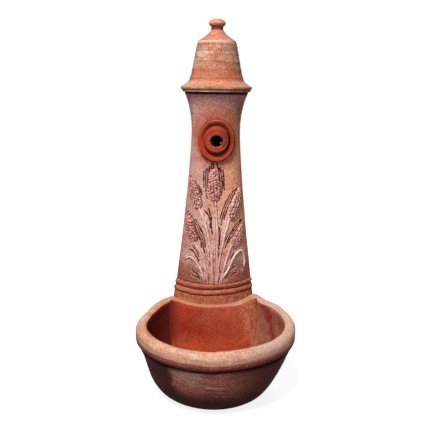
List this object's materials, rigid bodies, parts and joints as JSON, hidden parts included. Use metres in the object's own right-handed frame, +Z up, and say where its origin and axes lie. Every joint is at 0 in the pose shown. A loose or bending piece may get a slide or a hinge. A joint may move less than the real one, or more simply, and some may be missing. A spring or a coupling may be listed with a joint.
{
  "type": "garden wall fountain",
  "caption": "Fired-clay wall fountain: a round basin with a rolled rim before a tapered half-round column with a spout rosette, wheat relief and a lift-off bell cap.",
  "frame": {"origin": "on the wall plane and the floor, in the middle of the column's flat back", "axes": "+X to the right as seen from the front, +Y towards the wall behind, so the front faces -Y, +Z up"},
  "size_m": [0.49, 0.429, 1.1125],
  "materials": {
    "basin_clay": "fired clay, dusty outside, orange red inside",
    "column_clay": "fired clay with a pale bloom",
    "cap_clay": "fired clay, mottled",
    "rosette_clay": "fired clay, saturated red",
    "relief_clay": "fired clay with dark grooves and worn pale tops",
    "copper": "dull copper tube",
    "brass": "cast and turned brass",
    "zinc_steel": "zinc plated",
    "black_rubber": "black rubber",
    "grey_rubber": "dark grey rubber"
  },
  "bodies": {
    "root": {"basin": "basin_clay", "column": "column_clay", "spout_ring": "rosette_clay", "spout_boss": "rosette_clay", "ear_centre": "relief_clay", "ear_upper_left": "relief_clay", "ear_upper_right": "relief_clay", "ear_lower_left": "relief_clay", "ear_lower_right": "relief_clay", "wheat_stems": "relief_clay", "wheat_leaves": "relief_clay", "feed_pipe": "copper", "feed_elbow": "brass", "elbow_screws": "zinc_steel", "elbow_nut": "brass", "pipe_clip": "brass", "clip_screws": "zinc_steel", "drain_flange": "brass", "drain_washer": "black_rubber", "drain_nut": "brass"},
    "cap": {"cap": "cap_clay", "cap_knob": "cap_clay"},
    "plug": {"drain_plug": "grey_rubber"}
  },
  "joints": [
    {"name": "cap_lift", "type": "slide", "parent": "root", "child": "cap", "axis": [0, 0, 1], "range_m": [0, 0.2]},
    {"name": "plug_lift", "type": "slide", "parent": "root", "child": "plug", "axis": [0, 0, 1], "range_m": [0, 0.2]}
  ]
}
